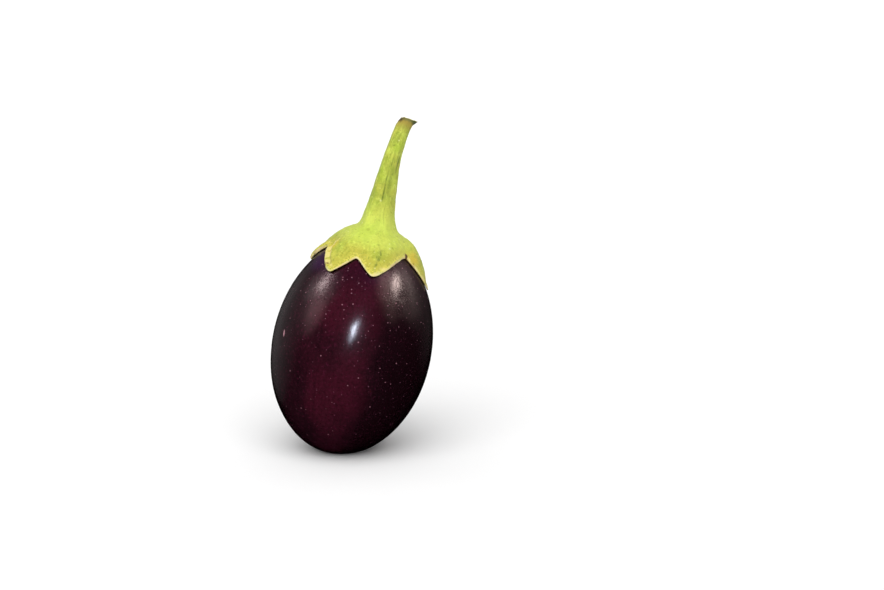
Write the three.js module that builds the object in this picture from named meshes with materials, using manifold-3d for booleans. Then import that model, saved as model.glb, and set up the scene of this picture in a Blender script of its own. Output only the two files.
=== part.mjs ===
// A small purple Indian eggplant: the oval fruit, and the green calyx that grew together with its
// cut stem. It stands on a small flat spot at the blossom end and leans a little to one side.
//
// Millimetres, +Z up. The origin is the centre of the flat spot, +X is the side that the fruit
// leans to, and -Y is the side with the broadest sepal.
//
// Both pieces are worked out in the fruit's own frame first: its axis is vertical and its centre is
// the origin there. A place on the skin has two angles, in degrees: "polar", from the stem end down
// the side, and "around", about the axis from the -Y side towards +X.
import * as THREE from "three";
import { mergeVertices } from "three/addons/utils/BufferGeometryUtils.js";
import Module from "manifold-3d";

const { clamp, degToRad, lerp, smoothstep } = THREE.MathUtils;

// The fruit
const FRUIT_RADIUS = 26;
const FRUIT_HALF_LENGTH = 36.4;
const FULLER_BASE = 0.008; // share by which the blossom half is wider
const SHOULDER_RISE = 1.0; // how far the shoulder under the calyx stands above a true oval
const SHOULDER_FROM = 52; // polar angle where that rise starts
const SHOULDER_FULL = 18; // polar angle where it is complete
const OVAL_SHARE = 0.005; // the fruit is this much wider across one diameter
const OVAL_AROUND = 65; // where that diameter points
const FURROW_SHARE = 0.006; // depth of the faint furrows between the sepals
const LEAN = 12.4; // lean of the axis towards +X
const FLAT_DEPTH = 1.2; // what the flat spot takes off the blossom end

// The stem
const STEM_TOP = 76.9; // height of the cut above the fruit's centre
const STEM_FOOT = 39.8; // height where the stem has spread into the calyx
const STEM_WAIST = 42.6; // height where it starts to spread
const STEM_TIP_RADIUS = 2.45;
const STEM_TAPER = 2.05; // growth in radius from the tip down to the waist
const STEM_FLARE = 0.86; // growth added by the spread, at the waist
const STEM_FLARE_LENGTH = 4.0; // height over which the spread grows e times
const CUT_FLARE = 0.3; // the dried rim stands out by this much
const CUT_FLARE_LENGTH = 1.1;
const CUT_SINK = 0.45; // depth of the shrunken pith
const STEM_RIB_SHARE = 0.06; // ridges that run down the stem to the sepals
const TIP_BEND = 2.3; // how far the stem's end bends towards +X
const BEND_FROM = 0.32; // share of the stem below which it runs straight
const BEND_POWER = 2.3;
const BACK_BEND = 1.2; // how far the end bends away from -Y
const FOOT_SHIFT = 0.6; // the stem stands this far off the axis, towards -X

// The calyx
const GAP = 0.3; // clearance to the skin
const COLLAR_POLAR = 14; // where the stem's spread meets the calyx
const COLLAR_THICKNESS = 3.3;
const EDGE_THICKNESS = 0.85;
const THIN_POLAR = 46; // where a sepal has thinned to its edge thickness
const MARGIN_FALL = 1.7; // distance over which the calyx thins towards its edge
const VALLEY_SHARE = 0.22; // the calyx is this much thinner between two sepals
const TIP_ROUNDING = 0.12;
// Sepal tips, each followed by the notch after it: around and polar. A tip lifts off the skin by
// lift, its rib is fleshier than plain by the share flesh, and its two sides run hollow (over 1) or
// full (under 1) into the notches.
const SEPALS = [
  { tip: [-39, 45.8], lift: 0.5, flesh: 0, sides: [0.8, 1.0], notch: [-19.5, 33.2] },
  { tip: [5, 42.4], lift: 0.35, flesh: 0.05, sides: [1.2, 1.75], notch: [62, 26.6] },
  { tip: [92, 49.8], lift: 0.6, flesh: 0.32, sides: [1.0, 1.4], notch: [140, 29] },
  { tip: [180, 46], lift: 0.7, flesh: 0.1, sides: [1.4, 1.4], notch: [217, 30] },
  { tip: [252, 48], lift: 0.9, flesh: 0, sides: [1.3, 1.2], notch: [284, 33.5] },
];

// Fineness
const FRUIT_STEPS = [30, 60]; // rows along the fruit, columns around it
const HALF_SEPAL_STEPS = 8; // columns from a notch to the next tip
const STEM_ROWS = 13;
const CALYX_ROWS = 9;
const UNDERSIDE_ROWS = 6;
const EDGE_ROWS = 3;

const wasm = await Module();
wasm.setup();

// A point in the fruit's frame, from its distance to the axis, its angle around it and its height.
function placed(radius, around, height) {
  const angle = degToRad(around);
  return new THREE.Vector3(radius * Math.sin(angle), -radius * Math.cos(angle), height);
}

// A point of the fruit's skin.
function skinPoint(polar, around) {
  const angle = degToRad(polar);
  const shoulder = 1 - smoothstep(polar, SHOULDER_FULL, SHOULDER_FROM);
  const oval = OVAL_SHARE * Math.cos(2 * degToRad(around - OVAL_AROUND));
  const furrow = FURROW_SHARE * shoulder * (ribAt(around) - 0.5);
  const width = 1 - FULLER_BASE * Math.cos(angle) + oval + furrow;
  const radius = FRUIT_RADIUS * Math.sin(angle) * width;
  return placed(radius, around, FRUIT_HALF_LENGTH * Math.cos(angle) + SHOULDER_RISE * shoulder);
}

// The direction straight out of the skin there.
function skinNormal(polar, around) {
  const angle = degToRad(polar);
  return placed(
    Math.sin(angle) / FRUIT_RADIUS,
    around,
    Math.cos(angle) / FRUIT_HALF_LENGTH,
  ).normalize();
}

// The notches and tips in order around the calyx, from the notch before the first tip.
const CORNERS = [
  { around: SEPALS.at(-1).notch[0] - 360, polar: SEPALS.at(-1).notch[1] },
  ...SEPALS.flatMap(({ tip, notch, ...form }) => [
    { around: tip[0], polar: tip[1], ...form },
    { around: notch[0], polar: notch[1] },
  ]),
];

// Where an angle falls among the corners: the sepal it belongs to, and how far it is from the
// notch (0) to the tip (1).
function sepalAt(around) {
  const first = CORNERS[0].around;
  const turned = first + THREE.MathUtils.euclideanModulo(around - first, 360);
  let before = 0;
  while (before < CORNERS.length - 2 && CORNERS[before + 1].around <= turned) before += 1;
  const [low, high] = [CORNERS[before], CORNERS[before + 1]];
  const share = clamp((turned - low.around) / (high.around - low.around), 0, 1);
  const rising = "sides" in high;
  return {
    tip: rising ? high : low,
    notch: rising ? low : high,
    share: rising ? share : 1 - share,
    hollow: rising ? high.sides[0] : low.sides[1],
  };
}

// 1 along the middle of a sepal and 0 at the notches.
function ribAt(around) {
  return smoothstep(sepalAt(around).share, 0, 1);
}

// The polar angle of the calyx's edge.
function edgePolar(around) {
  const { tip, notch, share, hollow } = sepalAt(around);
  const blunt = Math.hypot(1, TIP_ROUNDING) - Math.hypot(1 - share, TIP_ROUNDING);
  const reach = blunt / (Math.hypot(1, TIP_ROUNDING) - TIP_ROUNDING);
  return lerp(notch.polar, tip.polar, Math.pow(reach, hollow));
}

const EDGE_LINE = Array.from({ length: 360 }, (_, around) => skinPoint(edgePolar(around), around));

// How far a place on the skin is from the calyx's edge.
function edgeDistance(point) {
  return Math.min(...EDGE_LINE.map((other) => point.distanceTo(other)));
}

// How far the calyx has lifted off the skin, towards a sepal's tip.
function liftAt(polar, around) {
  const { tip, share } = sepalAt(around);
  const reach = (polar - COLLAR_POLAR) / (tip.polar - COLLAR_POLAR);
  return tip.lift * smoothstep(reach, 0.55, 1) * share * share;
}

// The thickness of the calyx: greatest at the collar, thinner between sepals and at its edge.
function thicknessAt(polar, around) {
  const run = clamp((polar - COLLAR_POLAR) / (THIN_POLAR - COLLAR_POLAR), 0, 1);
  const rib = ribAt(around);
  const relief = sepalAt(around).tip.flesh * rib - VALLEY_SHARE * (1 - rib);
  const flesh = lerp(COLLAR_THICKNESS, EDGE_THICKNESS, run) * (1 + relief * smoothstep(run, 0, 0.4));
  const inside = 1 - Math.exp(-edgeDistance(skinPoint(polar, around)) / MARGIN_FALL);
  return EDGE_THICKNESS + (flesh - EDGE_THICKNESS) * inside;
}

// A point of the calyx: level 0 is its underside and level 1 its outer face.
function calyxPoint(polar, around, level) {
  const height = GAP + liftAt(polar, around) + level * thicknessAt(polar, around);
  return skinPoint(polar, around).addScaledVector(skinNormal(polar, around), height);
}

// A point of the calyx's rounded edge, from the outer face (turn 0) to the underside (turn 180).
function edgePoint(turn, around) {
  const polar = edgePolar(around);
  const level = 0.5 + 0.5 * Math.cos(degToRad(turn));
  const down = skinPoint(polar + 1, around).sub(skinPoint(polar, around)).normalize();
  const bulge = 0.5 * EDGE_THICKNESS * Math.sin(degToRad(turn));
  return calyxPoint(polar, around, level).addScaledVector(down, bulge);
}

// The stem's radius at a height, without its ribs.
function stemRadius(height) {
  const down = (STEM_TOP - height) / (STEM_TOP - STEM_WAIST);
  const taper = STEM_TAPER * Math.pow(down, 1.8);
  const flare = STEM_FLARE * Math.exp((STEM_WAIST - height) / STEM_FLARE_LENGTH);
  const rim = CUT_FLARE * Math.exp((height - STEM_TOP) / CUT_FLARE_LENGTH);
  return STEM_TIP_RADIUS + taper + flare + rim;
}

// A point at a share of the stem's radius: 1 is its surface.
function stemPoint(height, around, share) {
  const up = (height - STEM_FOOT) / (STEM_TOP - STEM_FOOT);
  const rib = 1 + STEM_RIB_SHARE * (ribAt(around) - 0.5) * (1.2 - up);
  const point = placed(share * stemRadius(height) * rib, around, height);
  const bend = Math.pow(clamp((up - BEND_FROM) / (1 - BEND_FROM), 0, 1), BEND_POWER);
  point.x += TIP_BEND * bend - FOOT_SHIFT * smoothstep(up, 0, 0.16);
  point.y += BACK_BEND * up * up;
  return point;
}

// The rows of the calyx and stem, from the middle of the cut down the outside, round the edge and
// back under to the axis. Each row gives a point for an angle around.
const steps = (count) => Array.from({ length: count }, (_, step) => (step + 1) / count);
const calyxRows = [
  () => stemPoint(STEM_TOP - CUT_SINK, 0, 0),
  (around) => stemPoint(STEM_TOP - CUT_SINK, around, 0.55),
  (around) => stemPoint(STEM_TOP - 0.1, around, 0.8),
  (around) => stemPoint(STEM_TOP, around, 0.94),
  (around) => stemPoint(STEM_TOP - 0.35, around, 1),
  ...steps(STEM_ROWS).map((down) => {
    const height = lerp(STEM_TOP - 0.35, STEM_FOOT, Math.pow(down, 0.9));
    return (around) => stemPoint(height, around, 1);
  }),
  ...steps(CALYX_ROWS).map((out) => (around) => {
    return calyxPoint(lerp(COLLAR_POLAR, edgePolar(around), out), around, 1);
  }),
  ...steps(EDGE_ROWS).map((turn) => (around) => edgePoint(180 * turn, around)),
  ...steps(UNDERSIDE_ROWS).map((back) => (around) => {
    return calyxPoint(lerp(edgePolar(around), 0, back), around, 0);
  }),
];

// The angles of the columns: every notch and tip is on one.
const calyxColumns = CORNERS.slice(1).flatMap((corner, index) =>
  steps(HALF_SEPAL_STEPS).map((share) => lerp(CORNERS[index].around, corner.around, share)),
);

// A lathe-turned blank of that many rows and columns, each point then moved to where pointAt puts
// it. The first and last rows each close on one point.
function shapedLathe(rows, columns, pointAt) {
  const profile = Array.from({ length: rows }, (_, row) => {
    const pole = row === 0 || row === rows - 1;
    return new THREE.Vector2(pole ? 0 : 1, rows - row);
  });
  const blank = new THREE.LatheGeometry(profile.reverse(), columns);
  const places = blank.getAttribute("position");
  for (let index = 0; index < places.count; index += 1) {
    const column = Math.floor(index / rows) % columns;
    const point = pointAt(rows - 1 - (index % rows), column);
    places.setXYZ(index, point.x, point.y, point.z);
  }
  blank.deleteAttribute("normal");
  blank.deleteAttribute("uv");
  return blank;
}

// Tips a shape from the fruit's frame to how the fruit stands: leaning, with the lowest point of its
// oval FLAT_DEPTH under the ground, and the flat spot's centre at the origin.
function stood(geometry) {
  const lean = degToRad(LEAN);
  const [wide, long] = [FRUIT_RADIUS ** 2, FRUIT_HALF_LENGTH ** 2];
  const reach = Math.sqrt(long * Math.cos(lean) ** 2 + wide * Math.sin(lean) ** 2);
  const height = reach - FLAT_DEPTH;
  const side = ((long - wide) * Math.sin(lean) * Math.cos(lean) * height) / (reach * reach);
  return geometry.rotateY(lean).translate(side, 0, height);
}

// A closed geometry as a solid, for cutting.
function solid(geometry) {
  const bare = geometry.clone();
  bare.deleteAttribute("normal");
  bare.deleteAttribute("uv");
  const merged = mergeVertices(bare);
  const vertProperties = new Float32Array(merged.getAttribute("position").array);
  const triVerts = new Uint32Array(merged.index.array);
  return new wasm.Manifold(new wasm.Mesh({ numProp: 3, vertProperties, triVerts }));
}

// A solid back as a geometry.
function geometryOf(body) {
  const { vertProperties, triVerts } = body.getMesh();
  const geometry = new THREE.BufferGeometry();
  geometry.setAttribute("position", new THREE.BufferAttribute(vertProperties, 3));
  geometry.setIndex(new THREE.BufferAttribute(triVerts, 1));
  geometry.computeVertexNormals();
  return geometry;
}

// The fruit, cut level where it stands.
function fruit() {
  const [rows, columns] = FRUIT_STEPS;
  const oval = shapedLathe(rows + 1, columns, (row, column) =>
    skinPoint((180 * row) / rows, (360 * column) / columns),
  );
  const ground = new THREE.BoxGeometry(80, 80, 10).translate(0, 0, -5);
  const material = new THREE.MeshStandardMaterial({ color: 0x2f0c1b, roughness: 0.25 });
  const mesh = new THREE.Mesh(geometryOf(solid(stood(oval)).subtract(solid(ground))), material);
  mesh.name = "fruit";
  return mesh;
}

// The calyx and the stem, one living piece.
function calyxAndStem() {
  const shape = shapedLathe(calyxRows.length, calyxColumns.length, (row, column) =>
    calyxRows[row](calyxColumns[column]),
  );
  const material = new THREE.MeshStandardMaterial({ color: 0xb9cb54, roughness: 0.6 });
  const mesh = new THREE.Mesh(geometryOf(solid(stood(shape))), material);
  mesh.name = "calyx_and_stem";
  return mesh;
}

const eggplant = new THREE.Group();
eggplant.add(fruit(), calyxAndStem());

export default eggplant;
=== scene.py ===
"""A small purple Indian eggplant, as picked: its fine surfaces, a pale floor and soft light.

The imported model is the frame. Its two solids, the fruit and the calyx with the stem, are each stood
for by a finer mesh of the same form. Lengths in the classes are millimetres and angles are degrees;
a mesh is turned to metres when it is handed to Blender.

A place on the fruit is given as in the frame's source: "polar" runs from the stem end down the
side, and "around" turns about the fruit's axis from the -Y side towards +X.
"""

import logging
import math
from dataclasses import dataclass
from enum import Enum
from functools import partial

import bmesh
import bpy
import numpy as np
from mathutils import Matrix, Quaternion, Vector, kdtree, noise


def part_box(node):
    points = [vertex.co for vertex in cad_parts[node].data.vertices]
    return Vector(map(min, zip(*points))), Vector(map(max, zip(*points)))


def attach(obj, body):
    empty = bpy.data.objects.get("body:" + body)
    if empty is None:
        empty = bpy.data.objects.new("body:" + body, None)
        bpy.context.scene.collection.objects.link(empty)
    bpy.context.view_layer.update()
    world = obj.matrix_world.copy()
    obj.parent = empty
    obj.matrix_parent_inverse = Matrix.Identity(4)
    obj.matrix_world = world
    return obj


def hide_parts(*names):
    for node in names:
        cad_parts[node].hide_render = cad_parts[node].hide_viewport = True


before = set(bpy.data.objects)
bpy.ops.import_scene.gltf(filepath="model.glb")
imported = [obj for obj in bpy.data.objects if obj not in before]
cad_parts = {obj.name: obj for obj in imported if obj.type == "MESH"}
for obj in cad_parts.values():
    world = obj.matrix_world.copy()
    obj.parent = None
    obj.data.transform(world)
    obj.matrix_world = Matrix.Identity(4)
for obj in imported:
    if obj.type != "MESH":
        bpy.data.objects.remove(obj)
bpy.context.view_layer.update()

LOG = logging.getLogger("eggplant")
MM = 0.001
BODY = "root"
FAR = 99.0  # Farther than any mark reaches, in mm.
Array = np.ndarray

# The photograph's frame, where the fruit's middle stands in it, and the lens that fits it.
PHOTO_WIDTH = 884
PHOTO_HEIGHT = 590
FRUIT_PIXEL = (351.97, 346.1)
LENS = 85.0
SENSOR = 36.0
CAMERA_PITCH = 12.0
CAMERA_DISTANCE = 683.5


class Slot(Enum):
    """The record's material slots."""

    SKIN = "skin"
    CALYX = "calyx"


class Zone(Enum):
    """The stretches that the calyx's rows run through, in order, with their number of rows."""

    CUT = 16
    STEM = 84
    OUTSIDE = 86
    EDGE = 10
    UNDERSIDE = 34


def linear(colour: str) -> tuple[float, float, float, float]:
    """Turns an sRGB hex colour to linear.

    Args:
        colour: six hex digits after a hash sign.

    Returns:
        red, green, blue and an alpha of 1.
    """
    shares = [int(colour[place : place + 2], 16) / 255 for place in (1, 3, 5)]
    red, green, blue = [c / 12.92 if c <= 0.04045 else ((c + 0.055) / 1.055) ** 2.4 for c in shares]
    return red, green, blue, 1.0


def eased(value: Array | float, low: float, high: float) -> Array:
    """0 up to low and 1 from high on, with a smooth rise between them."""
    share = np.clip((value - low) / (high - low), 0.0, 1.0)
    return share * share * (3.0 - 2.0 * share)


def blended(low: Array | float, high: Array | float, share: Array) -> Array:
    """What lies that share of the way from low to high."""
    return low + (high - low) * share


def bell(value: Array, width: float) -> Array:
    """1 at 0, falling off over that width to both sides."""
    return np.exp(-((value / width) ** 2))


def turned_by(around: Array, centre: Array | float) -> Array:
    """The turn from centre to around, between -180 and 180."""
    return np.mod(around - centre + 180.0, 360.0) - 180.0


def facing(around: Array, centre: float) -> Array:
    """1 at the angle centre, falling to -1 on the side across from it."""
    return np.cos(np.radians(turned_by(around, centre)))


def placed(radius: Array, around: Array, height: Array) -> Array:
    """Points from their distance to the fruit's axis, their angle around it and their height."""
    angle = np.radians(around)
    rows = np.broadcast_arrays(radius * np.sin(angle), -radius * np.cos(angle), height)
    return np.stack(rows, axis=-1)


def corners_of(form: bmesh.types.BMesh) -> Array:
    """The places of a form's vertices."""
    return np.array([vertex.co[:] for vertex in form.verts])


def move_to(form: bmesh.types.BMesh, places: Array) -> None:
    """Moves a form's vertices to new places."""
    for vertex, place in zip(form.verts, places.tolist()):
        vertex.co = place


def linked(name: str, data: bpy.types.ID) -> bpy.types.Object:
    """Adds an object with some data to the scene."""
    made = bpy.data.objects.new(name, data)
    bpy.context.scene.collection.objects.link(made)
    return made


def add_node(
    tree: bpy.types.NodeTree,
    kind: str,
    inputs: dict[str | int, object] | None = None,
    **settings: object,
) -> bpy.types.Node:
    """Adds a node with its settings, values and links.

    Args:
        tree: the material's node tree.
        kind: Blender's name for the kind of node.
        inputs: for each input, by name or number, a value, or the output that is linked to it,
            or a node whose first output is.
        settings: the node's own properties.

    Returns:
        the new node.
    """
    made = tree.nodes.new(kind)
    for name, value in settings.items():
        setattr(made, name, value)
    for name, value in (inputs or {}).items():
        if isinstance(value, bpy.types.Node):
            value = value.outputs[0]
        if isinstance(value, bpy.types.NodeSocket):
            tree.links.new(value, made.inputs[name])
        else:
            made.inputs[name].default_value = value
    return made


@dataclass(frozen=True)
class Lumps:
    """Smooth noise.

    Attributes:
        size: the size of a lump in mm.
        high: how high it is, in mm or as a share.
        seed: another number gives other lumps.
    """

    size: float
    high: float
    seed: float

    def at(self, places: Array) -> Array:
        """The noise at points in mm, from about -high to high."""
        shifted = places / self.size + self.seed * np.array([1.0, 2.0, 3.0])
        return self.high * np.array([noise.noise(place) for place in shifted.tolist()])


@dataclass(frozen=True)
class Sepal:
    """One pointed lobe of the calyx, with the notch after it.

    Attributes:
        tip: around and polar of its tip.
        lift: how far the tip stands off the skin.
        flesh: the share by which its rib is fleshier than plain.
        sides: how hollow (over 1) or full (under 1) its two sides run into the notches.
        notch: around and polar of the notch after it.
        dry: how far its two edges have dried, in mm.
    """

    tip: tuple[float, float]
    lift: float
    flesh: float
    sides: tuple[float, float]
    notch: tuple[float, float]
    dry: tuple[float, float]


SEPALS = (
    Sepal((-39.6, 45.4), 0.3, 0.0, (0.8, 1.0), (-19.5, 32.4), (0.75, 0.3)),
    Sepal((4.5, 41.4), 0.3, 0.05, (1.25, 1.75), (62, 27.5), (0.4, 1.2)),
    Sepal((92, 49.8), -0.12, 0.42, (0.9, 1.4), (140, 29), (0.7, 0.4)),
    Sepal((180, 46), 0.7, 0.1, (1.4, 1.4), (217, 30), (0.6, 0.7)),
    Sepal((252, 48.4), 0.04, 0.0, (1.3, 1.2), (284, 31.8), (0.5, 0.2)),
)


@dataclass(frozen=True)
class Lobes:
    """Where some angles around fall among the sepals, one entry for each angle.

    Attributes:
        tip_polar: polar angle of the tip of the sepal that the angle belongs to.
        notch_polar: polar angle of the nearer notch.
        lift: how far that tip stands off the skin.
        flesh: how much fleshier that sepal's rib is.
        hollow: how hollow the side is.
        dry: how far the edge has dried there, in mm.
        share: 0 at the notch and 1 at the tip.
    """

    tip_polar: Array
    notch_polar: Array
    lift: Array
    flesh: Array
    hollow: Array
    dry: Array
    share: Array

    @property
    def rib(self) -> Array:
        """1 along the middle of a sepal and 0 at the notches."""
        return eased(self.share, 0.0, 1.0)


@dataclass(frozen=True)
class Crown:
    """How the sepals stand around the stem."""

    sepals: tuple[Sepal, ...] = SEPALS
    tip_rounding: float = 0.12
    notch_rounding: float = 0.09

    @property
    def corners(self) -> Array:
        """The angles around of the notches and tips, from the notch before the first tip."""
        pairs = [angle for sepal in self.sepals for angle in (sepal.tip[0], sepal.notch[0])]
        return np.array([self.sepals[-1].notch[0] - 360.0, *pairs])

    def at(self, around: Array) -> Lobes:
        """Finds where angles fall among the sepals.

        Args:
            around: angles around the axis.

        Returns:
            their lobes.
        """
        corners = self.corners
        turned = corners[0] + np.mod(around - corners[0], 360.0)
        half = np.clip(np.searchsorted(corners, turned, side="right") - 1, 0, len(corners) - 2)
        passed = (turned - corners[half]) / (corners[half + 1] - corners[half])
        rising = half % 2 == 0
        notches = np.array([sepal.notch[1] for sepal in self.sepals])
        rows = [(s.tip[1], s.notch[1], s.lift, s.flesh, *s.sides, *s.dry) for s in self.sepals]
        tip, notch, lift, flesh, *sides = np.array(rows)[half // 2].T
        first_side, second_side, first_dry, second_dry = sides
        return Lobes(
            tip_polar=tip,
            notch_polar=np.where(rising, notches[half // 2 - 1], notch),
            lift=lift,
            flesh=flesh,
            hollow=np.where(rising, first_side, second_side),
            dry=np.where(rising, first_dry, second_dry),
            share=np.where(rising, passed, 1.0 - passed),
        )

    def edge_polar(self, around: Array) -> Array:
        """The polar angle of the calyx's edge at angles around."""
        lobes = self.at(around)
        whole = math.hypot(1.0, self.tip_rounding)
        blunt = whole - np.hypot(1.0 - lobes.share, self.tip_rounding)
        reach = np.clip(blunt / (whole - self.tip_rounding), 0.0, 1.0)
        reach = reach**lobes.hollow
        soft = np.hypot(reach, self.notch_rounding) - self.notch_rounding
        soft /= math.hypot(1.0, self.notch_rounding) - self.notch_rounding
        return blended(lobes.notch_polar, lobes.tip_polar, soft)


@dataclass(frozen=True)
class Spot:
    """A small place on the fruit's skin that is sunken or marked.

    Attributes:
        polar: its middle.
        around: its middle.
        wide: half its width around the fruit, in mm.
        long: half its length down the fruit, in mm.
        depth: how deep it is, in mm, or how strong the mark is.
    """

    polar: float
    around: float
    wide: float
    long: float
    depth: float


@dataclass
class Fruit:
    """The purple berry: an oval that leans, flattened where it stands."""

    crown: Crown
    radius: float = 26.0
    half_length: float = 36.4
    fuller_base: float = 0.008
    shoulder_rise: float = 1.0
    shoulder_from: float = 52.0
    shoulder_full: float = 18.0
    oval_share: float = 0.005
    oval_around: float = 65.0
    furrow_share: float = 0.006
    lean: float = 12.4
    flat_depth: float = 1.2
    flat_rounding: float = 0.35
    rows: int = 260
    columns: int = 340
    swell: Lumps = Lumps(15.0, 0.1, 3.1)
    ripple: Lumps = Lumps(4.0, 0.022, 8.3)
    flute: Lumps = Lumps(1.0, 0.05, 5.7)
    flute_shortening: float = 0.12
    scar_radius: float = 1.38
    scar_depth: float = 0.55
    scar_lumps: Lumps = Lumps(0.9, 0.35, 11.0)
    grain_shortening: float = 0.1
    # Painted light and shade: red on the side facing the front light, less so towards the bottom,
    # black on the far sides: where, and the cosines it shows between.
    painted_light_and_shade_clouds: Lumps = Lumps(11.0, 0.12, 21.0)
    painted_light_side: float = -7.0
    painted_light_range: tuple[float, float] = (0.84, 1.03)
    painted_light_fade: tuple[float, float] = (112.0, 142.0)
    painted_light_loss: float = 0.6
    painted_shade_side: float = 74.0
    painted_shade_range: tuple[float, float] = (0.25, 0.9)
    second_painted_shade_side: float = -98.0
    second_painted_shade_range: tuple[float, float] = (0.4, 0.95)
    second_painted_shade_share: float = 0.6
    # The wax is worn from the calyx down to so many mm below it.
    worn_range: tuple[float, float] = (8.0, 15.0)
    # The violet patch between two sepals, in polar and around, and the clouds beside it.
    violet_place: tuple[float, float] = (41.0, -68.0)
    violet_size: tuple[float, float] = (8.0, 11.0)
    violet_clouds: int = 5
    violet_turn: float = 40.0
    violet_share: float = 0.3
    violet_reach: float = 3.0
    dents: tuple[Spot, ...] = (
        Spot(51.0, 38.5, 1.5, 1.9, 0.08),
        Spot(60.0, 34.0, 1.1, 1.6, 0.06),
        Spot(88.0, 148.0, 2.2, 3.0, 0.14),
        Spot(118.0, 215.0, 1.4, 1.4, 0.1),
        Spot(104.0, 14.0, 1.2, 1.8, 0.05),
    )

    def skin(self, polar: Array, around: Array) -> Array:
        """Points of the plain skin, in the fruit's own upright frame."""
        angle = np.radians(polar)
        shoulder = 1.0 - eased(polar, self.shoulder_full, self.shoulder_from)
        oval = self.oval_share * np.cos(2.0 * np.radians(around - self.oval_around))
        furrow = self.furrow_share * shoulder * (self.crown.at(around).rib - 0.5)
        width = 1.0 - self.fuller_base * np.cos(angle) + oval + furrow
        height = self.half_length * np.cos(angle) + self.shoulder_rise * shoulder
        return placed(self.radius * np.sin(angle) * width, around, height)

    def outward(self, polar: Array, around: Array) -> Array:
        """The directions straight out of the skin."""
        angle = np.radians(polar)
        slope = placed(np.sin(angle) / self.radius, around, np.cos(angle) / self.half_length)
        return slope / np.linalg.norm(slope, axis=-1, keepdims=True)

    def stood(self, points: Array) -> Array:
        """Tips points from the fruit's upright frame to how the fruit stands."""
        lean = math.radians(self.lean)
        wide, long = self.radius**2, self.half_length**2
        reach = math.sqrt(long * math.cos(lean) ** 2 + wide * math.sin(lean) ** 2)
        height = reach - self.flat_depth
        side = (long - wide) * math.sin(lean) * math.cos(lean) * height / reach**2
        x, y, z = points[..., 0], points[..., 1], points[..., 2]
        across = x * math.cos(lean) + z * math.sin(lean) + side
        up = z * math.cos(lean) - x * math.sin(lean) + height
        return np.stack([across, y, up], axis=-1)

    def grain(self, polar: Array, around: Array) -> Array:
        """Coordinates in mm for patterns that run down the fruit, drawn out along it."""
        down = np.radians(polar) * self.half_length * self.grain_shortening
        return placed(np.full_like(polar, self.radius), around, down)

    def spotted(self, spot: Spot, polar: Array, around: Array) -> Array:
        """A spot's depth at places on the fruit."""
        turn = np.radians(turned_by(around, spot.around))
        across = turn * self.radius * np.sin(np.radians(polar)) / spot.wide
        down = np.radians(polar - spot.polar) * self.half_length / spot.long
        return spot.depth * np.exp(-(across**2) - down**2)

    def relief(self, polar: Array, around: Array, plain: Array) -> Array:
        """How far the skin stands out of its plain form.

        Args:
            polar: polar angles of the points.
            around: their angles around.
            plain: the points of the plain form.

        Returns:
            a height in mm for each point.
        """
        height = self.swell.at(plain) + self.ripple.at(plain)
        belly = np.sin(np.radians(polar))
        height += belly * self.flute.at(self.grain(polar, around) * self.flute_shortening)
        for dent in self.dents:
            height -= self.spotted(dent, polar, around)
        return height

    def violet(self, polar: Array, around: Array, below: Array) -> Array:
        """How violet the skin is: in patches close under the calyx, most between two sepals."""
        across = turned_by(around, self.violet_place[1]) * np.sin(np.radians(polar))
        down = polar - self.violet_place[0]
        patch = bell(across, self.violet_size[1]) * bell(down, self.violet_size[0])
        clouds = 0.5 + 0.5 * np.sin(np.radians(self.violet_clouds * around + self.violet_turn))
        beside = self.violet_share * clouds * bell(below, self.violet_reach)
        return np.clip(patch + beside, 0.0, 1.0)

    def build(self) -> bpy.types.Object:
        """Builds the fruit's mesh.

        Returns:
            the fruit, as a new object.
        """
        form, row, turn = closed_tube(self.rows, self.columns)
        polar = 180.0 * row / self.rows
        around = 360.0 * turn
        plain = self.skin(polar, around)
        height = self.relief(polar, around, plain)
        points = self.stood(plain + self.outward(polar, around) * height[:, None])

        # Where it stands, the oval is pressed level, with a soft bend round the flat spot.
        share = np.clip(0.5 + 0.5 * points[:, 2] / self.flat_rounding, 0.0, 1.0)
        points[:, 2] = points[:, 2] * share + self.flat_rounding * share * (1.0 - share)
        from_scar = np.radians(180.0 - polar) * self.radius
        rough = 1.0 + self.scar_lumps.at(plain)
        points[:, 2] += self.scar_depth * rough * bell(from_scar, self.scar_radius)

        edge = self.crown.edge_polar(around)
        below = np.where(polar > edge, distance_to(edge_line(self), plain), 0.0)
        # Painted light and shade: a red lit side towards the front that fades towards the bottom, and
        # black shaded sides.
        cloud = self.painted_light_and_shade_clouds.at(plain)
        sunny = eased(facing(around, self.painted_light_side) + cloud, *self.painted_light_range)
        dark = eased(facing(around, self.painted_shade_side) + cloud, *self.painted_shade_range)
        second = eased(facing(around, self.second_painted_shade_side) + cloud, *self.second_painted_shade_range)
        marks = {
            "below_calyx": below,
            "from_scar": from_scar,
            "sunny": sunny * (1.0 - self.painted_light_loss * eased(polar, *self.painted_light_fade)),
            "dark": np.maximum(dark, self.second_painted_shade_share * second),
            "worn_wax": 1.0 - eased(below, *self.worn_range),
            "violet": self.violet(polar, around, below),
            "grain": self.grain(polar, around),
        }
        return finished(form, "purple_fruit", points, marks)


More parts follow.
